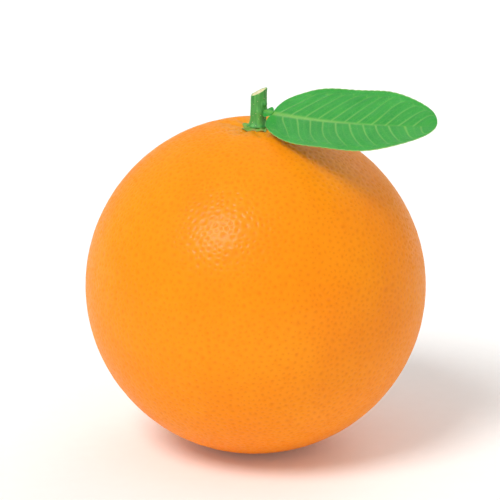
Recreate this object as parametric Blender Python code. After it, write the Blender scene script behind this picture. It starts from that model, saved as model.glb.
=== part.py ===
"""Sweet orange, picked with a short stem and one leaf, standing on its small flat spot.

Metres, +Z up. The origin is the middle of the flat spot, +X is the side the leaf is on,
and the stem stands up near the +Z axis. Five pieces: fruit, calyx, stem, leaf_stalk
and leaf_blade. Neighbours stay GAP apart.
"""
from math import atan2, cos, exp, hypot, pi, radians, sin, sqrt, tan

import bmesh
import bpy
from mathutils import Matrix, Vector

for old in list(bpy.data.objects):
    bpy.data.objects.remove(old, do_unlink=True)

# ---------------------------------------------------------------- driving dimensions
GAP = 0.0003                    # left between two pieces that grow together

FRUIT_RADIUS = 0.0390           # half the greatest width
FRUIT_HALF_HEIGHT = 0.0388      # centre to pole, before the dimple sinks in
FLAT_SPOT_RADIUS = 0.0065       # the fruit rests on this much of its blossom end
DIMPLE_RADIUS = 0.0110          # shallow hollow around the stem
DIMPLE_DEPTH = 0.0018
FURROW_COUNT = 10               # faint grooves that run out of the dimple
FURROW_DEPTH = 0.00022
FURROW_PEAK = 0.0055            # distance from the stem where they are deepest
LUMP = 0.00025                  # how far the peel strays from a true round
STEM_OFFSET = 0.0005            # dimple, calyx and stem sit this far toward +X

CALYX_LOBES = 5
CALYX_WAIST = 0.0027            # radius between two lobes
CALYX_REACH = 0.0040            # radius at a lobe's tip
CALYX_THICKNESS = 0.0006

STEM_RADIUS = 0.00178
STEM_HEIGHT = 0.0073            # from the calyx to the middle of the cut
STEM_LEAN = radians(2.0)        # toward the leaf
STEM_CUT = radians(27.5)        # slope of the cut, higher on the leaf's side
STEM_RIBS = 5
STEM_RIB_DEPTH = 0.00006
STEM_FLARE = 0.00035            # extra radius at the foot
FLARE_REACH = 0.0005            # height over which the flare fades
STEM_TOE = 0.0001               # the foot's lower edge is eased by this much
NODE_SWELLING = 0.00016         # extra radius where the leaf grows out
NODE_REACH = 0.0008             # height over which the swelling fades

LEAF_HEIGHT = 0.00300           # of the stalk's root above the stem's foot
LEAF_TURN = radians(40.5)       # the leaf points this far from +X toward -Y
LEAF_SWEEP = radians(-14.0)     # and its midrib bends this much back along its length
LEAF_RISE = radians(1.0)        # slope of the midrib at the stalk
LEAF_TIP_RISE = radians(7.0)    # and at the tip
LEAF_ROLL = radians(30.5)       # the near edge hangs lower than the far one
LEAF_FOLD = radians(7.0)        # each half of the blade rises from the midrib

STALK_LENGTH = 0.0022
STALK_HALF_WIDTH = 0.00085
STALK_HALF_DEPTH = 0.00070
WING_HALF_WIDTH = 0.0019

BLADE_LENGTH = 0.0425
BLADE_HALF_WIDTH = 0.0097
BLADE_THICKNESS = 0.0006
BLADE_BASE_FULLNESS = 0.77      # 1 is an ellipse's end, less is blunter
BLADE_TIP_FULLNESS = 0.95

CENTRE_HEIGHT = FRUIT_HALF_HEIGHT * sqrt(1 - (FLAT_SPOT_RADIUS / FRUIT_RADIUS) ** 2)


# ---------------------------------------------------------------- shared helpers
def linear(channel):
    """One sRGB channel, 0 to 1, as the linear value that a shader takes."""
    return channel / 12.92 if channel <= 0.04045 else ((channel + 0.055) / 1.055) ** 2.4


def give_material(piece, hex_colour, roughness):
    """A plain non-metal material named after its piece."""
    material = bpy.data.materials.new(piece.name + "_surface")
    material.use_nodes = True
    shader = material.node_tree.nodes["Principled BSDF"]
    channels = [int(hex_colour[i:i + 2], 16) / 255 for i in (0, 2, 4)]
    shader.inputs["Base Color"].default_value = [linear(c) for c in channels] + [1.0]
    shader.inputs["Roughness"].default_value = roughness
    shader.inputs["Metallic"].default_value = 0.0
    piece.data.materials.append(material)


def finish(name, mesh, place=Vector((0.0, 0.0, 0.0))):
    """Turns a bmesh into a named, smooth-shaded object with its faces pointing out."""
    bmesh.ops.recalc_face_normals(mesh, faces=mesh.faces)
    data = bpy.data.meshes.new(name)
    mesh.to_mesh(data)
    mesh.free()
    data.shade_smooth()
    data.set_sharp_from_angle(angle=radians(40))
    piece = bpy.data.objects.new(name, data)
    piece.location = place
    bpy.context.scene.collection.objects.link(piece)
    return piece


def loft(mesh, rings):
    """Closed skin through a stack of equal rings of points, with a flat cap on each end."""
    loops = [[mesh.verts.new(point) for point in ring] for ring in rings]
    count = len(loops[0])
    for lower, upper in zip(loops, loops[1:]):
        for i in range(count):
            j = (i + 1) % count
            mesh.faces.new((lower[i], lower[j], upper[j], upper[i]))
    mesh.faces.new(reversed(loops[0]))
    mesh.faces.new(loops[-1])


# ---------------------------------------------------------------- fruit
def sink(x, y):
    """How far the dimple and its furrows lower the stem end at this plan position."""
    out = hypot(x - STEM_OFFSET, y)
    if out > 2 * DIMPLE_RADIUS:
        return 0.0
    hollow = 0.0
    if out < DIMPLE_RADIUS:
        hollow = DIMPLE_DEPTH * (1 + cos(pi * out / DIMPLE_RADIUS)) / 2
    reach = out / FURROW_PEAK
    groove = FURROW_DEPTH * reach * reach * exp(1 - reach * reach)
    around = atan2(y, x - STEM_OFFSET)
    return hollow + groove * (1 + cos(FURROW_COUNT * around)) / 2


def peel_point(direction):
    """The fruit's surface along a unit direction from its centre, a little out of round."""
    x, y, z = direction
    oval = 0.9 * x * y + 0.7 * y * z
    shoulder = 0.6 * x * (5 * z * z - 1) * (1 - z * z)
    stray = LUMP * (oval + shoulder)
    point = Vector((x * (FRUIT_RADIUS + stray), y * (FRUIT_RADIUS + stray),
                    z * FRUIT_HALF_HEIGHT + CENTRE_HEIGHT))
    if z > 0:
        point.z -= sink(point.x, point.y)
    return point


def peel_height(x, y):
    """Height of the fruit's upper surface over a plan position near the stem."""
    level = 1 - (x * x + y * y) / FRUIT_RADIUS ** 2
    return CENTRE_HEIGHT + FRUIT_HALF_HEIGHT * sqrt(level) - sink(x, y)


def make_fruit():
    """A half outline spun about the upright axis, shaped by peel_point, then cut flat."""
    near_stem = [radians(angle) for angle in range(0, 20, 2)]
    flank = [radians(angle) for angle in range(20, 180, 5)]
    mesh = bmesh.new()
    outline = [mesh.verts.new((sin(a), 0.0, cos(a))) for a in near_stem + flank + [pi]]
    edges = [mesh.edges.new(pair) for pair in zip(outline, outline[1:])]
    bmesh.ops.spin(mesh, geom=outline + edges, cent=(0, 0, 0), axis=(0, 0, 1),
                   angle=2 * pi, steps=60, use_merge=True)
    bmesh.ops.remove_doubles(mesh, verts=mesh.verts, dist=1e-5)
    for corner in mesh.verts:
        corner.co = peel_point(corner.co.normalized())
    everything = mesh.verts[:] + mesh.edges[:] + mesh.faces[:]
    bmesh.ops.bisect_plane(mesh, geom=everything, plane_co=(0, 0, 0), plane_no=(0, 0, -1),
                           clear_outer=True)
    rim = [edge for edge in mesh.edges if edge.is_boundary]
    for edge in rim:
        for corner in edge.verts:
            corner.co.z = 0.0
    bmesh.ops.edgeloop_fill(mesh, edges=rim)
    return finish("fruit", mesh)


# ---------------------------------------------------------------- calyx
def make_calyx():
    """A five-lobed disc that hugs the dimple, thinning to a soft edge at the lobes."""
    sides = 40

    def ring(share, lift):
        """One loop at a share of the outline's reach, lifted off the calyx's underside."""
        points = []
        for i in range(sides):
            around = 2 * pi * i / sides
            lobe = ((1 + cos(CALYX_LOBES * around)) / 2) ** 0.8
            out = share * (CALYX_WAIST + (CALYX_REACH - CALYX_WAIST) * lobe)
            x = STEM_OFFSET + out * cos(around)
            y = out * sin(around)
            points.append(Vector((x, y, peel_height(x, y) + GAP + lift * CALYX_THICKNESS)))
        return points

    underside = [ring(0.35, 0.0), ring(0.7, 0.0), ring(0.95, 0.02)]
    edge = [ring(1.0, 0.3)]
    upper_side = [ring(0.88, 0.7), ring(0.65, 0.88), ring(0.35, 1.0)]
    mesh = bmesh.new()
    loft(mesh, underside + edge + upper_side)
    return finish("calyx", mesh)


# ---------------------------------------------------------------- stem
STEM_FOOT = Vector((STEM_OFFSET, 0.0,
                    peel_height(STEM_OFFSET, 0.0) + 2 * GAP + CALYX_THICKNESS))
STEM_WAY = Vector((sin(STEM_LEAN), 0.0, cos(STEM_LEAN)))


def make_stem():
    """A faintly ribbed twig, wider at its foot and at the leaf's node, cut on a slant."""
    sides = 30
    foot = [0.0, STEM_TOE, FLARE_REACH, 2 * FLARE_REACH, 3 * FLARE_REACH]
    node = [LEAF_HEIGHT + NODE_REACH * step for step in (-1.5, -1.0, -0.5, 0.0, 0.5, 1.0, 2.0)]
    top = STEM_HEIGHT + 2 * STEM_RADIUS * tan(STEM_CUT)
    rings = []
    for level in foot + node + [top]:
        flare = STEM_FLARE * exp(-level / FLARE_REACH)
        toe = STEM_TOE if level == 0.0 else 0.0
        swelling = NODE_SWELLING * exp(-((level - LEAF_HEIGHT) / NODE_REACH) ** 2)
        ring = []
        for i in range(sides):
            around = 2 * pi * i / sides
            radius = STEM_RADIUS + flare - toe + swelling * (1 + cos(around + LEAF_TURN)) / 2
            radius += STEM_RIB_DEPTH * cos(STEM_RIBS * around)
            side = Vector((cos(around) * radius, sin(around) * radius, 0.0))
            ring.append(STEM_WAY * level + side)
        rings.append(ring)
    mesh = bmesh.new()
    loft(mesh, rings)
    everything = mesh.verts[:] + mesh.edges[:] + mesh.faces[:]
    bmesh.ops.bisect_plane(mesh, geom=everything, plane_co=STEM_WAY * STEM_HEIGHT,
                           plane_no=(-sin(STEM_CUT), 0.0, cos(STEM_CUT)), clear_outer=True)
    bmesh.ops.edgeloop_fill(mesh, edges=[edge for edge in mesh.edges if edge.is_boundary])
    return finish("stem", mesh, STEM_FOOT)


# ---------------------------------------------------------------- leaf
def leaf_frame(share):
    """Directions at a share of the blade's length: along it, to its near side, and up."""
    turn = LEAF_TURN + LEAF_SWEEP * share
    slope = LEAF_RISE + (LEAF_TIP_RISE - LEAF_RISE) * share
    along = Vector((cos(turn) * cos(slope), -sin(turn) * cos(slope), sin(slope)))
    level_side = Vector((-sin(turn), -cos(turn), 0.0))
    near = Matrix.Rotation(LEAF_ROLL, 3, along) @ level_side
    return along, near, near.cross(along)


def stalk_root():
    """Where the leaf's axis leaves the stem's bark."""
    bark = Vector((cos(LEAF_TURN), -sin(LEAF_TURN), 0.0)) * (STEM_RADIUS + NODE_SWELLING)
    return STEM_FOOT + STEM_WAY * LEAF_HEIGHT + bark


def make_leaf_stalk():
    """A short stalk with a narrow wing on each side, pinched in where the blade begins."""
    sides = 20
    along, near, up = leaf_frame(0.0)
    usable = STALK_LENGTH - 2 * GAP
    stations = 9
    rings = []
    for k in range(stations + 1):
        share = k / stations
        wing = (WING_HALF_WIDTH - STALK_HALF_WIDTH) * sin(pi * share) ** 1.5 * share ** 0.3
        width = STALK_HALF_WIDTH + wing
        depth = STALK_HALF_DEPTH * (1 - 0.2 * share)
        middle = stalk_root() + along * (GAP + usable * share)
        ring = []
        for i in range(sides):
            around = 2 * pi * i / sides
            ring.append(middle + near * width * cos(around) + up * depth * sin(around))
        rings.append(ring)
    mesh = bmesh.new()
    loft(mesh, rings)
    return finish("leaf_stalk", mesh)


def blade_outline(turn):
    """Half width of the blade where the outline's running angle is turn, 0 to pi."""
    fullness = BLADE_BASE_FULLNESS if turn < pi / 2 else BLADE_TIP_FULLNESS
    return BLADE_HALF_WIDTH * sin(turn) ** fullness


def make_leaf_blade():
    """A sheet laid along the midrib's arc, folded and rolled, then thickened downward."""
    rows, columns = 36, 12
    first, last = 0.04, pi - 0.05
    mesh = bmesh.new()
    bmesh.ops.create_grid(mesh, x_segments=rows, y_segments=columns, size=0.5)
    steps = 240
    midrib = [stalk_root() + leaf_frame(0.0)[0] * STALK_LENGTH]
    for k in range(steps):
        midrib.append(midrib[-1] + leaf_frame((k + 0.5) / steps)[0] * (BLADE_LENGTH / steps))
    for corner in mesh.verts:
        turn = first + (last - first) * (corner.co.x + 0.5)
        across = 2 * corner.co.y
        share = (1 - cos(turn)) / 2
        whole = min(int(share * steps), steps - 1)
        middle = midrib[whole].lerp(midrib[whole + 1], share * steps - whole)
        along, near, up = leaf_frame(share)
        half = blade_outline(turn)
        corner.co = (middle + near * (half * across * cos(LEAF_FOLD))
                     + up * (half * abs(across) * sin(LEAF_FOLD)))
    bmesh.ops.recalc_face_normals(mesh, faces=mesh.faces)
    if sum(face.normal.z for face in mesh.faces) < 0:
        bmesh.ops.reverse_faces(mesh, faces=mesh.faces)
    sheet = bpy.data.meshes.new("leaf_blade")
    mesh.to_mesh(sheet)
    mesh.free()
    sheet.shade_smooth()
    blade = bpy.data.objects.new("leaf_blade", sheet)
    bpy.context.scene.collection.objects.link(blade)
    thicken = blade.modifiers.new("thickness", "SOLIDIFY")
    thicken.thickness = BLADE_THICKNESS
    thicken.offset = -1.0
    return blade


give_material(make_fruit(), "FF9800", 0.42)
give_material(make_calyx(), "5E9A3A", 0.65)
give_material(make_stem(), "4CAF50", 0.60)
give_material(make_leaf_stalk(), "4CAF50", 0.45)
give_material(make_leaf_blade(), "4CAF50", 0.35)
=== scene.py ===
from math import cos, exp, pi, radians, sin, sqrt, tan

import bpy
import numpy as np
from mathutils import Matrix, Vector, noise
from mathutils.bvhtree import BVHTree


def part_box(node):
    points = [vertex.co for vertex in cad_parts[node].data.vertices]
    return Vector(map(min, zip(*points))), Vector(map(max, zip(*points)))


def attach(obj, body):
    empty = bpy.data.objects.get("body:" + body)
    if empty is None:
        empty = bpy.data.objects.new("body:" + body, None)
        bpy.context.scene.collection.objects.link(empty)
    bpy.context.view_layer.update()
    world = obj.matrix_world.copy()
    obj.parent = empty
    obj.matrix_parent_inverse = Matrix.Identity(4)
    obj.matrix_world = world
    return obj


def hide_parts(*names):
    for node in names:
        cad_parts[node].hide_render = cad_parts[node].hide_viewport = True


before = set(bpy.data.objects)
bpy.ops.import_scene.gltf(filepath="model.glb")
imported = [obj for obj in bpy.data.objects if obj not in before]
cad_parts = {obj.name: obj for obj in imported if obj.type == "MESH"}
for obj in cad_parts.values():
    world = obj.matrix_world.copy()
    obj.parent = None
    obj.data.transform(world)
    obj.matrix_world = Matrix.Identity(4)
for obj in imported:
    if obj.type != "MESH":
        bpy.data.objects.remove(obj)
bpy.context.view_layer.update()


# ------------------------------------------------------------------ fruit
# The whole orange: a waxy rind packed with oil glands, each seen as a small pit, grown
# in one piece round the flesh. It sinks in a furrowed dimple at the stem, and it has
# settled on a small flat spot at the blossom end, where the dry scar of the style is.
MM = 0.001
GIRTH_RADIUS = 39.0 * MM
HALF_HEIGHT = 38.8 * MM
FLAT_SPOT_RADIUS = 6.5 * MM
CENTRE_HEIGHT = HALF_HEIGHT * sqrt(1 - (FLAT_SPOT_RADIUS / GIRTH_RADIUS) ** 2)
STEM_OFFSET = 0.5 * MM
LUMP_SPAN = 30.0 * MM           # the fruit strays from round over this distance
PEBBLE_SPAN = 2.6 * MM          # the rind between the pits is uneven over this one
WANDER_SPAN = 6.7 * MM          # and a furrow wanders sideways over this one

# Widths of pits are shares of a gland's cell, and the shallowest and deepest are shares of
# the pit depth.
PEEL = {
    "Girth Radius": GIRTH_RADIUS,
    "Half Height": HALF_HEIGHT,
    "Centre Height": CENTRE_HEIGHT,
    "Stem Offset": STEM_OFFSET,
    "Gland Gap": 0.82 * MM,
    "Gland Density": 1.0e6,
    "Narrowest Pit": 0.38,
    "Widest Pit": 0.70,
    "Pit Depth": 0.22 * MM,
    "Shallowest Pit": 0.55,
    "Deepest Pit": 1.25,
    "Unevenness": 0.09 * MM,
    "Lumpiness": 0.35 * MM,
    "Dimple Radius": 11.0 * MM,
    "Dimple Depth": 1.8 * MM,
    "Furrow Count": 10.0,
    "Furrow Depth": 0.60 * MM,
    "Furrow Reach": 5.5 * MM,
    "Furrow Wander": 6.0,
    "Furrow Sharpness": 3.0,
    "Yellow From": 3.5 * MM,
    "Yellow To": 13.0 * MM,
    "Yellowness": 0.55,
    "Spot Softness": 0.6 * MM,
    "Scar Radius": 1.4 * MM,
    "Scar Depth": 0.35 * MM,
    "Seed": 7,
}


def colour(hex_value):
    """An sRGB hex colour as the linear RGBA that a shader socket takes."""
    channels = [int(hex_value[i:i + 2], 16) / 255 for i in (0, 2, 4)]
    return [c / 12.92 if c <= 0.04045 else ((c + 0.055) / 1.055) ** 2.4 for c in channels] + [1]


def add(tree, kind, feeds=(), out=0, **settings):
    """Adds a node with its settings, feeds its inputs with values or links, gives an output."""
    made = tree.nodes.new(kind)
    for name, value in settings.items():
        setattr(made, name, value)
    feeds = feeds if isinstance(feeds, dict) else dict(enumerate(feeds))
    for key, value in feeds.items():
        if isinstance(value, bpy.types.NodeSocket):
            tree.links.new(value, made.inputs[key])
        elif value is not None:
            made.inputs[key].default_value = value
    return made.outputs[out] if made.outputs else made


def new_material(name):
    """A material with only a Principled shader; gives its tree and that shader."""
    material = bpy.data.materials.new(name)
    material.use_nodes = True
    return material, material.node_tree, material.node_tree.nodes["Principled BSDF"]


def open_tree(name, sizes):
    """A Geometry Nodes tree with a named input for each size; gives it and those inputs."""
    tree = bpy.data.node_groups.new(name, "GeometryNodeTree")
    tree.interface.new_socket("Geometry", in_out="INPUT", socket_type="NodeSocketGeometry")
    for label, value in sizes.items():
        kind = "NodeSocketInt" if isinstance(value, int) else "NodeSocketFloat"
        tree.interface.new_socket(label, in_out="INPUT", socket_type=kind)
    tree.interface.new_socket("Geometry", in_out="OUTPUT", socket_type="NodeSocketGeometry")
    return tree, tree.nodes.new("NodeGroupInput").outputs


def grow(piece, tree, sizes):
    """Runs a tree on a piece with the given sizes and leaves the piece a plain mesh."""
    modifier = piece.modifiers.new(tree.name, "NODES")
    modifier.node_group = tree
    for socket in tree.interface.items_tree:
        if socket.in_out == "INPUT" and socket.name in sizes:
            modifier[socket.identifier] = sizes[socket.name]
    piece.update_tag()
    depsgraph = bpy.context.evaluated_depsgraph_get()
    result = bpy.data.meshes.new_from_object(piece.evaluated_get(depsgraph))
    piece.modifiers.clear()
    for slot in reversed(range(len(result.materials))):
        if result.materials[slot] is None:
            result.materials.pop(index=slot)
    piece.data = result


def new_piece(name, points=(), faces=(), values=None, material=None):
    """A smooth-shaded mesh object with one float attribute for each array in values."""
    data = bpy.data.meshes.new(name)
    data.from_pydata([tuple(p) for p in points], [], [tuple(f) for f in faces])
    for label, array in (values or {}).items():
        data.attributes.new(label, "FLOAT", "POINT").data.foreach_set("value", array)
    if material:
        data.materials.append(material)
    data.shade_smooth()
    piece = bpy.data.objects.new(name, data)
    bpy.context.scene.collection.objects.link(piece)
    return piece


# Ripe orange rind under its own wax: saturated orange that varies softly over a few
# centimetres, a little deeper in the pits, yellower by the stem, with a low satin gloss.
rind, tree, shader = new_material("waxy_orange_rind")
place = add(tree, "ShaderNodeTexCoord", out="Object")
patches = add(tree, "ShaderNodeTexNoise", {"Vector": place, "Scale": 1 / (22.0 * MM),
                                           "Detail": 2.0})
freckle = add(tree, "ShaderNodeTexNoise", {"Vector": place, "Scale": 1 / (1.4 * MM),
                                           "Detail": 3.0})
pit = add(tree, "ShaderNodeAttribute", out="Fac", attribute_name="pit")
stem_end = add(tree, "ShaderNodeAttribute", out="Fac", attribute_name="stem_end")
scar = add(tree, "ShaderNodeAttribute", out="Fac", attribute_name="scar")
ground = add(tree, "ShaderNodeMixRGB", [patches, colour("F88400"), colour("FF9C08")])
speckled = add(tree, "ShaderNodeMapRange", [freckle, 0.5, 0.8, 0.0, 0.45])
ground = add(tree, "ShaderNodeMixRGB", [speckled, ground, colour("F27E00")])
ground = add(tree, "ShaderNodeMixRGB", [stem_end, ground, colour("DC9C18")])
pit_share = add(tree, "ShaderNodeMapRange", [pit, 0.0, 1.0, 0.0, 0.5])
ground = add(tree, "ShaderNodeMixRGB", [pit_share, ground, colour("E47200")])
ground = add(tree, "ShaderNodeMixRGB", [scar, ground, colour("8A6233")])
rough = add(tree, "ShaderNodeMapRange", [freckle, 0.3, 0.7, 0.44, 0.58])
grain = add(tree, "ShaderNodeTexNoise", {"Vector": place, "Scale": 1 / (0.38 * MM),
                                         "Detail": 2.0})
pores = add(tree, "ShaderNodeTexVoronoi", {"Vector": place, "Scale": 1 / (0.52 * MM)})
pores = add(tree, "ShaderNodeMapRange", [pores, 0.0, 0.35, 0.0, 1.0])
fine = add(tree, "ShaderNodeMath", [grain, 0.6, pores], operation="MULTIPLY_ADD")
relief = add(tree, "ShaderNodeBump", {"Strength": 0.3, "Distance": 0.04 * MM, "Height": fine})
tree.links.new(ground, shader.inputs["Base Color"])
tree.links.new(rough, shader.inputs["Roughness"])
tree.links.new(relief, shader.inputs["Normal"])
shader.inputs["IOR"].default_value = 1.42
shader.inputs["Specular IOR Level"].default_value = 0.14
shader.inputs["Coat Weight"].default_value = 0.15
shader.inputs["Coat Roughness"].default_value = 0.19
shader.inputs["Subsurface Weight"].default_value = 0.12
shader.inputs["Subsurface Radius"].default_value = (1.0, 0.35, 0.08)
shader.inputs["Subsurface Scale"].default_value = 1.2 * MM

# One cell of rind for each oil gland: points spread evenly over a ball, a hull through
# them, its dual as the cells, and in each cell a ring around a sunken middle. A random
# value's inputs 2 and 3 are its least and its most.
skin, size = open_tree("gland_rind", PEEL)
ball = add(skin, "GeometryNodeMeshIcoSphere", {"Radius": size["Girth Radius"],
                                               "Subdivisions": 7})
glands = add(skin, "GeometryNodeDistributePointsOnFaces",
             {"Mesh": ball, "Distance Min": size["Gland Gap"],
              "Density Max": size["Gland Density"], "Seed": size["Seed"]},
             distribute_method="POISSON")
spot = add(skin, "GeometryNodeInputPosition")
outward = add(skin, "ShaderNodeVectorMath", [spot], operation="NORMALIZE")
on_ball = add(skin, "ShaderNodeVectorMath", {"Vector": outward, "Scale": size["Girth Radius"]},
              operation="SCALE")
glands = add(skin, "GeometryNodeSetPosition", {"Geometry": glands, "Position": on_ball})
cells = add(skin, "GeometryNodeDualMesh", [add(skin, "GeometryNodeConvexHull", [glands])])
ring = add(skin, "GeometryNodeExtrudeMesh", {"Mesh": cells, "Offset Scale": 0.0,
                                             "Individual": True}, mode="FACES")
width = add(skin, "FunctionNodeRandomValue", {2: size["Narrowest Pit"], 3: size["Widest Pit"],
                                              "Seed": size["Seed"]}, out=1,
            data_type="FLOAT")
ringed = add(skin, "GeometryNodeScaleElements", {"Geometry": ring, "Scale": width,
                                                 "Selection": ring.node.outputs["Top"]})
core = add(skin, "GeometryNodeExtrudeMesh", {"Mesh": ringed, "Offset Scale": 0.0,
                                             "Individual": True,
                                             "Selection": ring.node.outputs["Top"]},
           mode="FACES")
cored = add(skin, "GeometryNodeScaleElements", {"Geometry": core, "Scale": 0.0,
                                                "Selection": core.node.outputs["Top"]})
marked = add(skin, "GeometryNodeStoreNamedAttribute",
             {"Geometry": cored, "Selection": core.node.outputs["Top"], "Name": "pit",
              "Value": 1.0}, data_type="FLOAT", domain="POINT")
peel = add(skin, "GeometryNodeMergeByDistance", {"Geometry": marked, "Distance": 0.01 * MM})

# The fruit's own form: a slightly flattened ball, a little lumpy, raised to stand on z = 0.
stretch = add(skin, "ShaderNodeCombineXYZ", [size["Girth Radius"], size["Girth Radius"],
                                             size["Half Height"]])
form = add(skin, "ShaderNodeVectorMath", [outward, stretch], operation="MULTIPLY")
lumps = add(skin, "ShaderNodeTexNoise",
            {"Vector": outward, "Scale": GIRTH_RADIUS / LUMP_SPAN, "Detail": 0.0})
pebbles = add(skin, "ShaderNodeTexNoise",
              {"Vector": spot, "Scale": 1 / PEBBLE_SPAN, "Detail": 1.0})
lumps = add(skin, "ShaderNodeMath", [lumps, 0.5], operation="SUBTRACT")
pebbles = add(skin, "ShaderNodeMath", [pebbles, 0.5], operation="SUBTRACT")
lumps = add(skin, "ShaderNodeMath", [lumps, size["Lumpiness"]], operation="MULTIPLY")
pebbles = add(skin, "ShaderNodeMath", [pebbles, size["Unevenness"]], operation="MULTIPLY")
proud = add(skin, "ShaderNodeMath", [lumps, pebbles], operation="ADD")
pit_mark = add(skin, "GeometryNodeInputNamedAttribute", {"Name": "pit"}, data_type="FLOAT")
fate = add(skin, "FunctionNodeRandomValue",
           {2: size["Shallowest Pit"], 3: size["Deepest Pit"], "Seed": size["Seed"]}, out=1,
           data_type="FLOAT")
pitted = add(skin, "ShaderNodeMath", [pit_mark, fate], operation="MULTIPLY")
pitted = add(skin, "ShaderNodeMath", [pitted, size["Pit Depth"]], operation="MULTIPLY")
proud = add(skin, "ShaderNodeMath", [proud, pitted], operation="SUBTRACT")
proud = add(skin, "ShaderNodeVectorMath", {"Vector": outward, "Scale": proud},
            operation="SCALE")
form = add(skin, "ShaderNodeVectorMath", [form, proud], operation="ADD")

# The dimple: a cosine bowl, and furrows that run out of it and fade on the shoulder.
from_stem = add(skin, "ShaderNodeVectorMath",
                [form, add(skin, "ShaderNodeCombineXYZ", [size["Stem Offset"], 0.0, 0.0])],
                operation="SUBTRACT")
flat_way = add(skin, "ShaderNodeVectorMath", [from_stem, (1.0, 1.0, 0.0)],
               operation="MULTIPLY")
away = add(skin, "ShaderNodeVectorMath", [flat_way], out="Value", operation="LENGTH")
bowl = add(skin, "ShaderNodeMapRange", [away, 0.0, size["Dimple Radius"], 0.0, pi])
bowl = add(skin, "ShaderNodeMath", [bowl], operation="COSINE")
bowl = add(skin, "ShaderNodeMapRange", [bowl, -1.0, 1.0, 0.0, size["Dimple Depth"]])
reach = add(skin, "ShaderNodeMath", [away, size["Furrow Reach"]], operation="DIVIDE")
reach = add(skin, "ShaderNodeMath", [reach, reach], operation="MULTIPLY")
fade = add(skin, "ShaderNodeMath", [1.0, reach], operation="SUBTRACT")
fade = add(skin, "ShaderNodeMath", [fade], operation="EXPONENT")
furrow = add(skin, "ShaderNodeMath", [reach, fade], operation="MULTIPLY")
flat_x = add(skin, "ShaderNodeSeparateXYZ", [flat_way])
turn = add(skin, "ShaderNodeMath", [flat_x.node.outputs["Y"], flat_x], operation="ARCTAN2")
turn = add(skin, "ShaderNodeMath", [turn, size["Furrow Count"]], operation="MULTIPLY")
wander = add(skin, "ShaderNodeTexNoise",
             {"Vector": flat_way, "Scale": 1 / WANDER_SPAN, "Detail": 0.0})
turn = add(skin, "ShaderNodeMath", [wander, size["Furrow Wander"], turn],
           operation="MULTIPLY_ADD")
wave = add(skin, "ShaderNodeMath", [turn], operation="COSINE")
wave = add(skin, "ShaderNodeMapRange", [wave, -1.0, 1.0, 0.0, 1.0])
wave = add(skin, "ShaderNodeMath", [wave, size["Furrow Sharpness"]], operation="POWER")
wave = add(skin, "ShaderNodeMath", [wave, size["Furrow Depth"]], operation="MULTIPLY")
sunk = add(skin, "ShaderNodeMath", [furrow, wave, bowl], operation="MULTIPLY_ADD")
upper = add(skin, "ShaderNodeSeparateXYZ", [outward], out="Z")
upper = add(skin, "ShaderNodeMath", [upper, 0.0], operation="GREATER_THAN")
sunk = add(skin, "ShaderNodeMath", [sunk, upper], operation="MULTIPLY")

# The flat spot: whatever would pass below the surface it rests on is pressed level, and
# the style's scar is a small dry pit in the middle of it.
scar_reach = add(skin, "ShaderNodeMath", [away, size["Scar Radius"]], operation="DIVIDE")
scar_reach = add(skin, "ShaderNodeMath", [scar_reach, 4.0], operation="POWER")
scar_reach = add(skin, "ShaderNodeMath", [scar_reach, -1.0], operation="MULTIPLY")
scar_here = add(skin, "ShaderNodeMath", [scar_reach], operation="EXPONENT")
under = add(skin, "ShaderNodeMath", [1.0, upper], operation="SUBTRACT")
scar_here = add(skin, "ShaderNodeMath", [scar_here, under], operation="MULTIPLY")
axes = add(skin, "ShaderNodeSeparateXYZ", [form])
height = add(skin, "ShaderNodeMath", [axes.node.outputs["Z"], size["Centre Height"]],
             operation="ADD")
height = add(skin, "ShaderNodeMath", [height, sunk], operation="SUBTRACT")
height = add(skin, "ShaderNodeMath", [height, 0.0, size["Spot Softness"]],
             operation="SMOOTH_MAX")
height = add(skin, "ShaderNodeMath", [scar_here, size["Scar Depth"], height],
             operation="MULTIPLY_ADD")
final = add(skin, "ShaderNodeCombineXYZ", [axes, axes.node.outputs["Y"], height])
tint = add(skin, "ShaderNodeMapRange",
           [away, size["Yellow From"], size["Yellow To"], size["Yellowness"], 0.0])
tint = add(skin, "ShaderNodeMath", [tint, upper], operation="MULTIPLY")
peel = add(skin, "GeometryNodeStoreNamedAttribute",
           {"Geometry": peel, "Name": "stem_end", "Value": tint}, data_type="FLOAT")
peel = add(skin, "GeometryNodeStoreNamedAttribute",
           {"Geometry": peel, "Name": "scar", "Value": scar_here}, data_type="FLOAT")
peel = add(skin, "GeometryNodeSetPosition", {"Geometry": peel, "Position": final})
peel = add(skin, "GeometryNodeSetShadeSmooth", [peel])
peel = add(skin, "GeometryNodeRealizeInstances", [peel])
peel = add(skin, "GeometryNodeSetMaterial", {"Geometry": peel, "Material": rind})
add(skin, "NodeGroupOutput", [peel])

fruit = new_piece("fruit_rind")
grow(fruit, skin, PEEL)
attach(fruit, "root")
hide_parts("fruit")


# ------------------------------------------------------------------ calyx
# The five-lobed green button that the flower leaves behind: leathery sepals joined in a
# disc round the stem's foot. It grows out of the stem and lies on the rind in the dimple.
CALYX_SIDES = 160
CALYX_WAIST = 2.75 * MM
CALYX_REACH = 4.2 * MM
COLLAR_RADIUS = 2.25 * MM
COLLAR_THICKNESS = 0.95 * MM
COLLAR_STEEPNESS = 8
SEPALS = 5
SEPAL_THICKNESS = 0.34 * MM
SEPAL_SHARPNESS = 1.25          # 1 rounds a sepal's outline, more points it
SEPAL_RIB = 0.16 * MM
TIP_CURL = 0.22 * MM
RIM_PUCKER = 0.05 * MM
PUCKERS = 23
RIM_SHARE = 0.15                # thickness left at the very rim, as a share of the whole
ROUNDED_SHARE = 0.14            # outer share of the reach over which the top rounds down
CALYX_SINK = 0.06 * MM          # how far the underside lies in the rind
UNDERSIDE = [0.15, 0.4, 0.7, 0.9, 0.98]
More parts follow.
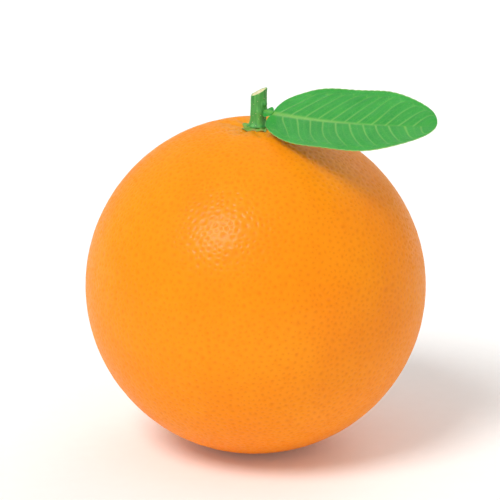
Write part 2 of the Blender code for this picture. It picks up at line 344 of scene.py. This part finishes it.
UPPER_SIDE = [1.0, 0.995, 0.98, 0.95, 0.91, 0.86, 0.8, 0.73, 0.66, 0.58, 0.5, 0.4, 0.3, 0.15]

# Living sepals: matt mid green with a paler rib on each, browned where the rim has dried.
sepal, tree, shader = new_material("green_sepal")
place = add(tree, "ShaderNodeTexCoord", out="Object")
mottle = add(tree, "ShaderNodeTexNoise", {"Vector": place, "Scale": 1 / (1.1 * MM),
                                          "Detail": 3.0})
dry = add(tree, "ShaderNodeAttribute", out="Fac", attribute_name="dry")
green = add(tree, "ShaderNodeMixRGB", [mottle, colour("5C9E38"), colour("8DB84E")])
dried = add(tree, "ShaderNodeMath", [mottle, 0.8, dry], operation="MULTIPLY_ADD")
dried = add(tree, "ShaderNodeMapRange", [dried, 0.9, 1.5, 0.0, 0.85])
green = add(tree, "ShaderNodeMixRGB", [dried, green, colour("A1803F")])
relief = add(tree, "ShaderNodeBump", {"Strength": 0.5, "Distance": 0.05 * MM, "Height": mottle})
tree.links.new(green, shader.inputs["Base Color"])
tree.links.new(relief, shader.inputs["Normal"])
shader.inputs["Roughness"].default_value = 0.6

rind_surface = BVHTree.FromPolygons([v.co for v in fruit.data.vertices],
                                    [p.vertices for p in fruit.data.polygons])


def rind_height(x, y):
    """Height of the fruit's top over a plan position."""
    overhead = Vector((x, y, 3 * HALF_HEIGHT))
    return rind_surface.ray_cast(overhead, Vector((0.0, 0.0, -1.0)))[0].z


def rounded_lift(share):
    """How much of its thickness the calyx has at a share of its reach."""
    return min(1.0, RIM_SHARE + (1 - RIM_SHARE) * sqrt((1 - share) / ROUNDED_SHARE))


def calyx_ring(share, lift, sink=0.0):
    """One loop of the calyx at a share of its reach, lifted above the rind under it.

    Two slow waves round the calyx make its sepals differ a little in length.
    """
    loop = []
    for i in range(CALYX_SIDES):
        around = 2 * pi * i / CALYX_SIDES
        lobe = ((1 + cos(SEPALS * around)) / 2) ** SEPAL_SHARPNESS
        uneven = 1 + 0.07 * sin(2 * around + 0.6) + 0.05 * sin(3 * around + 2.0)
        out = share * (CALYX_WAIST + (CALYX_REACH - CALYX_WAIST) * lobe * uneven)
        x = STEM_OFFSET + out * cos(around)
        y = out * sin(around)
        rib = SEPAL_RIB * lobe ** 4 * sin(pi * share) * lift
        pucker = RIM_PUCKER * sin(PUCKERS * around + 9 * share) * lift * share
        collar = COLLAR_THICKNESS - SEPAL_THICKNESS
        collar /= 1 + (out / COLLAR_RADIUS) ** COLLAR_STEEPNESS
        thick = (SEPAL_THICKNESS + collar) * lift
        curl = TIP_CURL * lobe ** 2 * share ** 6
        loop.append((x, y, rind_height(x, y) - sink + thick + rib + pucker + curl))
    return loop


def closed_stack(loops):
    """Quads between equal loops, with a fan to a middle point at each end of the stack."""
    count = len(loops[0])
    points = [p for loop in loops for p in loop]
    faces = []
    for k in range(len(loops) - 1):
        for i in range(count):
            j = (i + 1) % count
            low, high = k * count, (k + 1) * count
            faces.append((low + i, low + j, high + j, high + i))
    first = len(points)
    points += [tuple(np.mean(loops[0], axis=0)), tuple(np.mean(loops[-1], axis=0))]
    last_loop = (len(loops) - 1) * count
    for i in range(count):
        j = (i + 1) % count
        faces.append((j, i, first))
        faces.append((last_loop + i, last_loop + j, first + 1))
    return points, faces


loops = [calyx_ring(share, 0.0, CALYX_SINK) for share in UNDERSIDE]
loops += [calyx_ring(share, rounded_lift(share)) for share in UPPER_SIDE]
points, faces = closed_stack(loops)
shares = np.repeat(UNDERSIDE + UPPER_SIDE, CALYX_SIDES)
dry = np.concatenate([shares ** 6, [0.0, 0.0]])
calyx = new_piece("calyx_star", points, faces, {"dry": dry}, sepal)
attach(calyx, "root")
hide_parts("calyx")


# ------------------------------------------------------------------ stem
# A short piece of young citrus twig: green ribbed bark round pale wood and a thin pith,
# swollen at the foot and at the leaf's node, and cut on a slant with secateurs.
STEM_RADIUS = 1.78 * MM
STEM_LEAN = radians(2.0)
STEM_CUT = radians(27.5)
STEM_HEIGHT = 7.3 * MM
STEM_SIDES = 120
STEM_LEVELS = 90
STEM_SINK = 0.45 * MM           # how far the foot grows into the calyx
FLARE = 0.30 * MM               # extra radius at the foot
FLARE_REACH = 0.5 * MM
RIBS = 5
RIB_DEPTH = 0.075 * MM
FINE_RIBS = 13
FINE_RIB_DEPTH = 0.03 * MM
RIBS_FROM = 1.2 * MM            # the ribs have their full depth from this height
BARK_STRAY = 0.05 * MM
BARK_STRAY_SPAN = 2.0 * MM
LEAF_HEIGHT = 3.00 * MM
LEAF_TURN = radians(40.5)
NODE_SWELLING = 0.28 * MM       # extra radius where the leaf grows out
NODE_REACH = 0.9 * MM
BUD_SIZE = 0.62 * MM            # the dormant bud stands this far out of the bark
BUD_RISE = 1.75 * MM            # and this far above the leaf
BUD_HALF_ANGLE = 0.36
CUT_SHARES = (0.985, 0.96, 0.93, 0.88, 0.8, 0.68, 0.54, 0.4, 0.26, 0.14, 0.06)
CUT_GROOVE = 0.04 * MM          # hairline between bark and wood
CUT_GROOVE_SHARE = 0.03
PITH_DEPTH = 0.05 * MM
PITH_SHARE = 0.2
BLADE_MARK = 0.015 * MM         # ripple that the secateurs leave
BLADE_MARK_RATE = 14.0 / MM     # radians of its wave, so one ripple every 0.45 mm
stem_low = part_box("stem")[0]
stem_foot = Vector((STEM_OFFSET, 0.0, stem_low[2]))
stem_way = Vector((sin(STEM_LEAN), 0.0, cos(STEM_LEAN)))

# Green bark: matt, streaked along the twig, with pale corky lenticels. Cut wood: cream,
# green at the rim where it is alive, and whiter pith in the middle.
bark, tree, shader = new_material("green_citrus_twig")
place = add(tree, "ShaderNodeTexCoord", out="Object")
along = add(tree, "ShaderNodeMapping", {"Vector": place, "Scale": (1.0, 1.0, 0.10)})
streaks = add(tree, "ShaderNodeTexNoise", {"Vector": along, "Scale": 1 / (0.67 * MM),
                                           "Detail": 3.0})
cork = add(tree, "ShaderNodeAttribute", out="Fac", attribute_name="cork")
cut = add(tree, "ShaderNodeAttribute", out="Fac", attribute_name="cut")
depth = add(tree, "ShaderNodeAttribute", out="Fac", attribute_name="depth")
bands = add(tree, "ShaderNodeMapRange", [streaks, 0.34, 0.66, 0.0, 1.0])
green = add(tree, "ShaderNodeMixRGB", [bands, colour("2B8434"), colour("5DB452")])
green = add(tree, "ShaderNodeMixRGB", [cork, green, colour("C9C58C")])
wood = add(tree, "ShaderNodeValToRGB", [depth])
wood.node.color_ramp.elements[0].color = colour("58A04A")
wood.node.color_ramp.elements[0].position = 0.06
wood.node.color_ramp.elements[1].color = colour("F1EBCF")
wood.node.color_ramp.elements[1].position = 0.9
wood.node.color_ramp.elements.new(0.16).color = colour("C6D08A")
wood.node.color_ramp.elements.new(0.30).color = colour("E6DCA8")
wood.node.color_ramp.elements.new(0.72).color = colour("DCCF98")
surface = add(tree, "ShaderNodeMixRGB", [cut, green, wood])
relief = add(tree, "ShaderNodeBump", {"Strength": 0.5, "Distance": 0.06 * MM,
                                      "Height": streaks})
tree.links.new(surface, shader.inputs["Base Color"])
tree.links.new(relief, shader.inputs["Normal"])
shader.inputs["Roughness"].default_value = 0.55


def bark_radius(level, around):
    """The stem's radius: flared foot, coarse and fine ribs, leaf's node and bud above it."""
    flare = FLARE * exp(-level / FLARE_REACH)
    ribs = RIB_DEPTH * cos(RIBS * around + 0.4)
    ribs += FINE_RIB_DEPTH * cos(FINE_RIBS * around + 1.0)
    facing = (1 + cos(around + LEAF_TURN)) / 2
    node = NODE_SWELLING * facing ** 2 * exp(-((level - LEAF_HEIGHT) / NODE_REACH) ** 2)
    bud_level = (level - LEAF_HEIGHT - BUD_RISE) / BUD_SIZE
    side = (around + LEAF_TURN + pi) % (2 * pi) - pi
    bud = BUD_SIZE * exp(-bud_level ** 2 - (side / BUD_HALF_ANGLE) ** 2)
    bark_place = Vector((3 * cos(around), 3 * sin(around), level / BARK_STRAY_SPAN))
    stray = BARK_STRAY * noise.noise(bark_place)
    return STEM_RADIUS + flare + ribs * min(1.0, level / RIBS_FROM) + node + bud + stray


def stem_point(level, around, radius):
    """A point of the stem at a height above its foot, a way round it and a distance out."""
    return tuple(stem_foot + stem_way * level
                 + Vector((cos(around) * radius, sin(around) * radius, 0.0)))


loops, cut_mark, depth_mark = [], [], []
for k in range(STEM_LEVELS + 1):
    loop = []
    for i in range(STEM_SIDES):
        around = 2 * pi * i / STEM_SIDES
        top = STEM_HEIGHT + tan(STEM_CUT) * STEM_RADIUS * cos(around)
        level = -STEM_SINK + (top + STEM_SINK) * k / STEM_LEVELS
        loop.append(stem_point(level, around, bark_radius(level, around)))
    loops.append(loop)
    cut_mark += [0.0] * STEM_SIDES
    depth_mark += [0.0] * STEM_SIDES
for share in CUT_SHARES:
    groove = CUT_GROOVE * max(0.0, 1 - (1 - share) / CUT_GROOVE_SHARE)
    pith = PITH_DEPTH if share < PITH_SHARE else 0.0
    loop = []
    for i in range(STEM_SIDES):
        around = 2 * pi * i / STEM_SIDES
        top = STEM_HEIGHT + tan(STEM_CUT) * STEM_RADIUS * share * cos(around)
        radius = bark_radius(STEM_HEIGHT, around) * share
        ripple = BLADE_MARK * sin(BLADE_MARK_RATE * share * radius * sin(around))
        loop.append(stem_point(top - groove - pith + ripple, around, radius))
    loops.append(loop)
    cut_mark += [1.0] * STEM_SIDES
    depth_mark += [1.0 - share] * STEM_SIDES
points, faces = closed_stack(loops)
marks = {"cut": cut_mark + [0.0, 1.0], "depth": depth_mark + [0.0, 1.0]}
stem = new_piece("cut_stem", points, faces, marks, bark)

# Lenticels: small corky blisters scattered over the bark, each with its own proportions
# between the slightest and the stoutest.
LENTICELS = {"Lenticels Per Area": 0.42e6, "Blister Size": 0.075 * MM, "Seed": 4}
SLIGHTEST = (0.5, 0.6, 0.3)
STOUTEST = (1.3, 2.0, 0.5)
corks, size = open_tree("lenticels", LENTICELS)
twig = size["Geometry"]
is_cut = add(corks, "GeometryNodeInputNamedAttribute", {"Name": "cut"}, data_type="FLOAT")
on_bark = add(corks, "ShaderNodeMath", [is_cut, 0.01], operation="LESS_THAN")
spots = add(corks, "GeometryNodeDistributePointsOnFaces",
            {"Mesh": twig, "Selection": on_bark, "Density": size["Lenticels Per Area"],
             "Seed": size["Seed"]}, distribute_method="RANDOM")
blister = add(corks, "GeometryNodeMeshIcoSphere", {"Radius": 1.0, "Subdivisions": 2})
blister = add(corks, "GeometryNodeStoreNamedAttribute",
              {"Geometry": blister, "Name": "cork", "Value": 1.0}, data_type="FLOAT")
blister = add(corks, "GeometryNodeSetMaterial", {"Geometry": blister, "Material": bark})
stretch = add(corks, "FunctionNodeRandomValue",
              {0: SLIGHTEST, 1: STOUTEST, "Seed": size["Seed"]}, data_type="FLOAT_VECTOR")
stretch = add(corks, "ShaderNodeVectorMath", {"Vector": stretch, "Scale": size["Blister Size"]},
              operation="SCALE")
blisters = add(corks, "GeometryNodeInstanceOnPoints",
               {"Points": spots, "Instance": blister, "Scale": stretch,
                "Rotation": spots.node.outputs["Rotation"]})
twig_out = add(corks, "GeometryNodeJoinGeometry")
corks.links.new(blisters, twig_out.node.inputs[0])
corks.links.new(twig, twig_out.node.inputs[0])
twig_out = add(corks, "GeometryNodeRealizeInstances", [twig_out])
twig_out = add(corks, "GeometryNodeSetShadeSmooth", [twig_out])
twig_out = add(corks, "GeometryNodeSetMaterial", {"Geometry": twig_out, "Material": bark})
add(corks, "NodeGroupOutput", [twig_out])
grow(stem, corks, LENTICELS)
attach(stem, "root")
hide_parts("stem")


# ------------------------------------------------------------------ leaf stalk
# The leaf's short stalk, the same flesh as the leaf: a round rib with a narrow wing on
# each side. It grows out of the stem's node and is pinched in where the blade is jointed.
LEAF_SWEEP = radians(-14.0)
LEAF_RISE = radians(1.0)
LEAF_TIP_RISE = radians(7.0)
LEAF_ROLL = radians(30.5)
STALK_LENGTH = 2.2 * MM
STALK_RADIUS = 0.80 * MM
ROOT_FULLNESS = 1.08            # the rib's radius at its root, as a share of that one
STALK_TAPER = 0.28              # and loses this much of it on the way to the blade
STALK_ABOVE = 0.55              # its section is flatter above
STALK_BELOW = 0.95              # and fuller below
STALK_PALENESS = 0.7            # its middle line is nearly as pale as a vein
ROOT_STANDOFF = 0.16 * MM       # its root stands this far off the stem's plain radius
WING_HALF_WIDTH = 1.9 * MM
WING_THICKNESS = 0.16 * MM
WING_LIFT = 0.25 * MM           # the wings turn up by this much at their edges
WING_FROM = 0.12                # shares of the stalk's length between which it is winged
WING_TO = 0.92
ROOT_SINK = 0.5 * MM            # the stalk reaches this far into the stem's node
TIP_SINK = 0.2 * MM             # and this far into the blade
STALK_SIDES = 64
STALK_STATIONS = 48

# Citrus leaf: leathery and glossy above, paler and matt below, with yellow-green veins and
# tiny pale oil dots.
leaf_green, tree, shader = new_material("citrus_leaf")
place = add(tree, "ShaderNodeTexCoord", out="Object")
vein = add(tree, "ShaderNodeAttribute", out="Fac", attribute_name="vein")
below = add(tree, "ShaderNodeAttribute", out="Fac", attribute_name="below")
edge = add(tree, "ShaderNodeAttribute", out="Fac", attribute_name="edge")
mottle = add(tree, "ShaderNodeTexNoise", {"Vector": place, "Scale": 1 / (4.5 * MM),
                                          "Detail": 4.0})
sway = add(tree, "ShaderNodeTexNoise", {"Vector": place, "Scale": 1 / (1.1 * MM),
                                        "Detail": 2.0}, out="Color")
sway = add(tree, "ShaderNodeVectorMath", {"Vector": sway, "Scale": 0.9 * MM}, operation="SCALE")
swayed = add(tree, "ShaderNodeVectorMath", [place, sway], operation="ADD")
net = add(tree, "ShaderNodeTexVoronoi", {"Vector": swayed, "Scale": 1 / (0.8 * MM)},
          feature="DISTANCE_TO_EDGE")
net = add(tree, "ShaderNodeMapRange", [net, 0.0, 0.11, 1.0, 0.0])
upper = add(tree, "ShaderNodeMixRGB", [mottle, colour("1F8C33"), colour("3CA743")])
lower = add(tree, "ShaderNodeMixRGB", [mottle, colour("62A556"), colour("7DB56C")])
green = add(tree, "ShaderNodeMixRGB", [below, upper, lower])
glands = add(tree, "ShaderNodeTexVoronoi", {"Vector": place, "Scale": 1 / (0.59 * MM)})
glands = add(tree, "ShaderNodeMapRange", [glands, 0.10, 0.22, 0.5, 0.0])
green = add(tree, "ShaderNodeMixRGB", [glands, green, colour("6CC05A")])
faint_net = add(tree, "ShaderNodeMath", [net, 0.16], operation="MULTIPLY")
veins = add(tree, "ShaderNodeMath", [vein, faint_net], operation="MAXIMUM")
veins = add(tree, "ShaderNodeMath", [veins, 0.6], operation="MULTIPLY")
green = add(tree, "ShaderNodeMixRGB", [veins, green, colour("93C765")])
edge_share = add(tree, "ShaderNodeMath", [edge, 0.5], operation="MULTIPLY")
green = add(tree, "ShaderNodeMixRGB", [edge_share, green, colour("A9C86A")])
gloss = add(tree, "ShaderNodeMapRange", [below, 0.0, 1.0, 0.30, 0.60])
ripple = add(tree, "ShaderNodeMath", [net, -0.15, mottle], operation="MULTIPLY_ADD")
relief = add(tree, "ShaderNodeBump", {"Strength": 0.35, "Distance": 0.08 * MM,
                                      "Height": ripple})
tree.links.new(green, shader.inputs["Base Color"])
tree.links.new(gloss, shader.inputs["Roughness"])
tree.links.new(relief, shader.inputs["Normal"])
shader.inputs["IOR"].default_value = 1.45
shader.inputs["Subsurface Weight"].default_value = 0.4
shader.inputs["Subsurface Radius"].default_value = (0.6, 1.0, 0.15)
shader.inputs["Subsurface Scale"].default_value = 0.6 * MM


def leaf_frame(share):
    """Directions at a share of the blade's length: along it, to its near side, and up."""
    turn = LEAF_TURN + LEAF_SWEEP * share
    slope = LEAF_RISE + (LEAF_TIP_RISE - LEAF_RISE) * share
    along = Vector((cos(turn) * cos(slope), -sin(turn) * cos(slope), sin(slope)))
    near = Matrix.Rotation(LEAF_ROLL, 3, along) @ Vector((-sin(turn), -cos(turn), 0.0))
    return along, near, near.cross(along)


along, near, up = leaf_frame(0.0)
bark_out = Vector((cos(LEAF_TURN), -sin(LEAF_TURN), 0.0)) * (STEM_RADIUS + ROOT_STANDOFF)
stalk_root = stem_foot + stem_way * LEAF_HEIGHT + bark_out
loops, vein_mark, below_mark = [], [], []
for k in range(STALK_STATIONS + 1):
    share = k / STALK_STATIONS
    reach = (ROOT_SINK + STALK_LENGTH + TIP_SINK) * share - ROOT_SINK
    middle = stalk_root + along * reach
    winged = min(1.0, max(0.0, (share - WING_FROM) / (WING_TO - WING_FROM)))
    wing = max(0.0, sin(pi * winged)) ** 1.2
    width = STALK_RADIUS + (WING_HALF_WIDTH - STALK_RADIUS) * wing * (0.5 + 0.5 * share)
    rib = STALK_RADIUS * (ROOT_FULLNESS - STALK_TAPER * share)
    loop = []
    for i in range(STALK_SIDES):
        around = -2 * pi * i / STALK_SIDES
        across = width * cos(around)
        body = sqrt(max(0.0, 1 - (across / rib) ** 2)) if abs(across) < rib else 0.0
        wing_body = WING_THICKNESS * sqrt(max(0.0, 1 - (across / width) ** 4))
        half = max(rib * body, wing_body)
        above = sin(around) >= 0
        lift = half * (STALK_ABOVE if above else -STALK_BELOW)
        lift += WING_LIFT * wing * (across / WING_HALF_WIDTH) ** 2
        loop.append(tuple(middle + near * across + up * lift))
        vein_mark.append(max(0.0, 1 - abs(across) / rib) * STALK_PALENESS)
        below_mark.append(0.0 if above else 1.0)
    loops.append(loop)
points, faces = closed_stack(loops)
marks = {"vein": vein_mark + [0.5, 0.5], "below": below_mark + [0.0, 0.0]}
stalk = new_piece("leaf_stalk_winged", points, faces, marks, leaf_green)
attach(stalk, "root")
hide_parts("leaf_stalk")


# ------------------------------------------------------------------ leaf blade
# The leaf itself: a thin leathery blade folded along its midrib, with arching side veins
# that loop before a finely scalloped, slightly wavy edge. It is jointed to its stalk.
BLADE_LENGTH = 42.5 * MM
BLADE_HALF_WIDTH = 9.7 * MM
BLADE_THICKNESS = 0.20 * MM
EDGE_THINNING = 0.45            # share of the thickness that is lost at the edge
END_THINNING = 1.2 * MM         # where its half width is under this, it thins away to a tip
BLADE_BASE_FULLNESS = 0.77
BLADE_TIP_FULLNESS = 0.95
LEAF_FOLD = radians(7.0)
FOLD_ROUNDING = 0.7 * MM        # the fold along the midrib is rounded by this much
WAVE_HEIGHT = 0.30 * MM         # the edge waves up and down this far
WAVES = 2.2
MARGIN_CURL = 0.15 * MM         # the margins turn up by this much
SCALLOPS = 24
SCALLOP_SIZE = 0.010
EDGE_FROM = 0.965               # the pale margin starts at this share of the half width
MIDRIB_WIDTH = 0.52 * MM
MIDRIB_TAPER = 0.32 * MM        # it is this much narrower at the tip
MIDRIB_SINK = 0.14 * MM         # a groove above
MIDRIB_KEEL = 0.45 * MM         # and a keel below
VEIN_STEP = 0.082               # from one side vein to the next, share of the length
VEIN_LEAN = radians(57)
VEIN_ARCH = 0.07
VEIN_WANDER = 0.026
VEIN_STAGGER = 0.42             # the far side's veins start this share of a step earlier
VEIN_WIDTH = 0.22 * MM
VEIN_TAPER = 0.12 * MM
VEIN_SINK = 0.07 * MM
VEIN_KEEL = 0.09 * MM
VEIN_FADE_FROM = 0.80           # share of the half width where side veins begin to fade
VEIN_FADE = 0.12                # and how much farther out they are gone
LOOP_AT = 0.87                  # a finer line joins the side veins at this share
LOOP_DIP = 0.08                 # and is this much farther in where it meets one of them
LOOP_WIDTH = 0.14 * MM
LOOP_STRENGTH = 0.3             # the strengths are shares of a side vein's
HALF_VEIN_STRENGTH = 0.22
SWELL = 0.12 * MM               # the leaf puffs up between its side veins
SWELL_HOLLOW = 0.05 * MM
SWELL_SPAN = 0.75 * MM
ROWS = 300
COLUMNS = 140
MIDLINE_STEPS = 400
END_ANGLE = 0.02                # the outline's first and last row stop this short of a point


def ease(t):
    """0 below 0 and 1 above 1, with a smooth rise between."""
    t = min(max(t, 0.0), 1.0)
    return t * t * (3 - 2 * t)


def blade_relief(share, across, half):
    """Strength of the veins, the midrib and the swelling between veins at one point.

    A side vein starts on the midrib, leans toward the tip and arches. Near the edge a fine
    loop joins it to the next, and a shorter, fainter vein runs halfway between the two.
    """
    side = 1.0 if across > 0 else -1.0
    edge_share = abs(across) / half
    wander = VEIN_WANDER * noise.noise(Vector((share * 5, edge_share * 1.1, 3.1 * side)))
    start = share - abs(across) / BLADE_LENGTH / tan(VEIN_LEAN) - VEIN_ARCH * edge_share ** 3
    phase = (start + wander) / VEIN_STEP + (0.0 if side > 0 else VEIN_STAGGER)
    off = abs(phase - round(phase)) * VEIN_STEP * BLADE_LENGTH * sin(VEIN_LEAN)
    alive = ease((start + 0.01) / 0.05) * ease((0.97 - start) / 0.08)
    alive *= 1 - ease((edge_share - VEIN_FADE_FROM) / VEIN_FADE)
    vein_width = VEIN_WIDTH - VEIN_TAPER * edge_share
    side_vein = alive * (1 - 0.5 * edge_share) * exp(-(off / vein_width) ** 2)
    loop_at = LOOP_AT - LOOP_DIP * cos(pi * phase) ** 2
    loop_gap = abs(edge_share - loop_at) * half
    loop = LOOP_STRENGTH * exp(-(loop_gap / LOOP_WIDTH) ** 2)
    loop *= ease(half / BLADE_HALF_WIDTH * 2 - 0.4)
    between = exp(-((0.5 - abs(phase - round(phase))) / 0.05) ** 2)
    half_vein = HALF_VEIN_STRENGTH * alive * between * ease((0.75 - edge_share) / 0.3)
    midrib_width = MIDRIB_WIDTH - MIDRIB_TAPER * share
    midrib = exp(-(across / midrib_width) ** 2) * (1 - 0.9 * ease(share))
    swell = (1 - exp(-(off / SWELL_SPAN) ** 2)) * alive * ease(edge_share * 4)
    return max(side_vein, loop, half_vein), midrib, swell


def blade_points():
    """Upper and lower sheets of the blade, row by row, with their vein and edge marks."""
    midline = [stalk_root + leaf_frame(0.0)[0] * STALK_LENGTH]
    for k in range(MIDLINE_STEPS):
        along = leaf_frame((k + 0.5) / MIDLINE_STEPS)[0]
        midline.append(midline[-1] + along * (BLADE_LENGTH / MIDLINE_STEPS))
    tops, bottoms, veins, edges = [], [], [], []
    for r in range(ROWS + 1):
        turn = END_ANGLE + (pi - 2 * END_ANGLE) * r / ROWS
        share = (1 - cos(turn)) / 2
        fullness = BLADE_BASE_FULLNESS if turn < pi / 2 else BLADE_TIP_FULLNESS
        half = BLADE_HALF_WIDTH * sin(turn) ** fullness
        whole = min(int(share * MIDLINE_STEPS), MIDLINE_STEPS - 1)
        middle = midline[whole].lerp(midline[whole + 1], share * MIDLINE_STEPS - whole)
        _, near, up = leaf_frame(share)
        for c in range(COLUMNS + 1):
            place = 2 * c / COLUMNS - 1
            side = 1 if place > 0 else -1
            scallop = 1 + SCALLOP_SIZE * abs(sin(pi * (share * SCALLOPS + 0.3 * side)))
            across = place * half * scallop
            bend = sqrt(across ** 2 + FOLD_ROUNDING ** 2) - FOLD_ROUNDING
            wave = WAVE_HEIGHT * sin(2 * pi * (WAVES * share + 0.25 * side)) * place ** 2
            curl = MARGIN_CURL * abs(place) ** 5 * (half / BLADE_HALF_WIDTH)
            lift = bend * sin(LEAF_FOLD) + wave * ease(share * 5) + curl
            vein, midrib, swell = blade_relief(share, across, half)
            spot = middle + near * (across * cos(LEAF_FOLD)) + up * lift
            thick = BLADE_THICKNESS * (1 - EDGE_THINNING * abs(place) ** 6)
            thick *= ease(half / END_THINNING)
            rise = SWELL * swell - VEIN_SINK * vein - MIDRIB_SINK * midrib
            drop = thick + VEIN_KEEL * vein + MIDRIB_KEEL * midrib - SWELL_HOLLOW * swell
            tops.append(spot + up * (rise + SWELL_HOLLOW))
            bottoms.append(spot - up * drop)
            veins.append(max(vein, min(1.0, midrib * 1.5)))
            edges.append(ease((abs(place) - EDGE_FROM) / (1 - EDGE_FROM)))
    return tops, bottoms, veins, edges


tops, bottoms, veins, edges = blade_points()
wide = COLUMNS + 1
count = len(tops)
faces = []
for r in range(ROWS):
    for c in range(COLUMNS):
        a, b = r * wide + c, r * wide + c + 1
        d, e = a + wide, b + wide
        faces.append((a, b, e, d))
        faces.append((count + a, count + d, count + e, count + b))
rim = list(range(wide)) + [r * wide + COLUMNS for r in range(1, ROWS + 1)]
rim += [ROWS * wide + c for c in range(COLUMNS - 1, -1, -1)]
rim += [r * wide for r in range(ROWS - 1, 0, -1)]
for a, b in zip(rim, rim[1:] + rim[:1]):
    faces.append((a, count + a, count + b, b))
marks = {"vein": veins + veins, "edge": edges + edges, "below": [0.0] * count + [1.0] * count}
blade = new_piece("leaf_blade_veined", tops + bottoms, faces, marks, leaf_green)
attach(blade, "root")
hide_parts("leaf_blade")


# ------------------------------------------------------------------ table, light, camera
# A plain white table top under a white surround, lit all round, by a soft key from the
# upper left and by a weaker light from behind. The table's faint glow keeps its white even.
TABLE_HALF_SIDE = 3.0
SURROUND_RADIUS = 2.8
CAMERA_ELEVATION = radians(17.0)
CAMERA_DISTANCE = 638.0 * MM
AIM_LEFT = 1.24 * MM            # the fruit stands a little right of the frame's middle
AIM_RAISE = 7.93 * MM           # and a little below it
paper, tree, shader = new_material("matt_white_board")
place = add(tree, "ShaderNodeTexCoord", out="Object")
fibre = add(tree, "ShaderNodeTexNoise", {"Vector": place, "Scale": 1 / (3.3 * MM),
                                         "Detail": 3.0})
white = add(tree, "ShaderNodeMixRGB", [fibre, colour("F6F6F4"), colour("FAFAF8")])
tree.links.new(white, shader.inputs["Base Color"])
shader.inputs["Roughness"].default_value = 0.9
shader.inputs["Specular IOR Level"].default_value = 0.2
shader.inputs["Emission Color"].default_value = (1.0, 1.0, 1.0, 1.0)
shader.inputs["Emission Strength"].default_value = 0.05
corners = [(x * TABLE_HALF_SIDE, y * TABLE_HALF_SIDE, 0.0)
           for x, y in ((-1, -1), (1, -1), (1, 1), (-1, 1))]
table = new_piece("table", corners, [(0, 1, 2, 3)], material=paper)

glow, tree, shader = new_material("lit_white_surround")
shader.inputs["Base Color"].default_value = (0.0, 0.0, 0.0, 1.0)
shader.inputs["Emission Color"].default_value = (1.0, 1.0, 1.0, 1.0)
shader.inputs["Emission Strength"].default_value = 1.0
bpy.ops.mesh.primitive_uv_sphere_add(segments=48, ring_count=24, radius=SURROUND_RADIUS)
surround = bpy.context.object
surround.name = "surround"
surround.data.materials.append(glow)
for way in ("visible_diffuse", "visible_glossy", "visible_transmission", "visible_shadow"):
    setattr(surround, way, False)

world = bpy.data.worlds.new("white_room")
world.use_nodes = True
world.node_tree.nodes["Background"].inputs["Color"].default_value = (1.0, 1.0, 1.0, 1.0)
world.node_tree.nodes["Background"].inputs["Strength"].default_value = 0.57
bpy.context.scene.world = world

for name, strength, spread, azimuth, elevation in (
        ("key", 1.95, 24.0, -38.0, 50.0), ("rim", 0.5, 40.0, 150.0, 35.0)):
    lamp = bpy.data.lights.new(name, "SUN")
    lamp.energy = strength
    lamp.angle = radians(spread)
    light = bpy.data.objects.new(name, lamp)
    turn, rise = radians(azimuth), radians(elevation)
    toward = Vector((sin(turn) * cos(rise), -cos(turn) * cos(rise), sin(rise)))
    light.rotation_euler = toward.to_track_quat("Z", "Y").to_euler()
    bpy.context.scene.collection.objects.link(light)

camera_data = bpy.data.cameras.new("camera")
camera_data.lens = 200.0
camera_data.sensor_width = 36.0
camera = bpy.data.objects.new("camera", camera_data)
image_up = Vector((0.0, sin(CAMERA_ELEVATION), cos(CAMERA_ELEVATION)))
back = Vector((0.0, -cos(CAMERA_ELEVATION), sin(CAMERA_ELEVATION)))
aim = Vector((-AIM_LEFT, 0.0, CENTRE_HEIGHT)) + image_up * AIM_RAISE
camera.location = aim + back * CAMERA_DISTANCE
camera.rotation_euler = back.to_track_quat("Z", "Y").to_euler()
bpy.context.scene.collection.objects.link(camera)
bpy.context.scene.camera = camera
bpy.context.scene.view_settings.view_transform = "Standard"
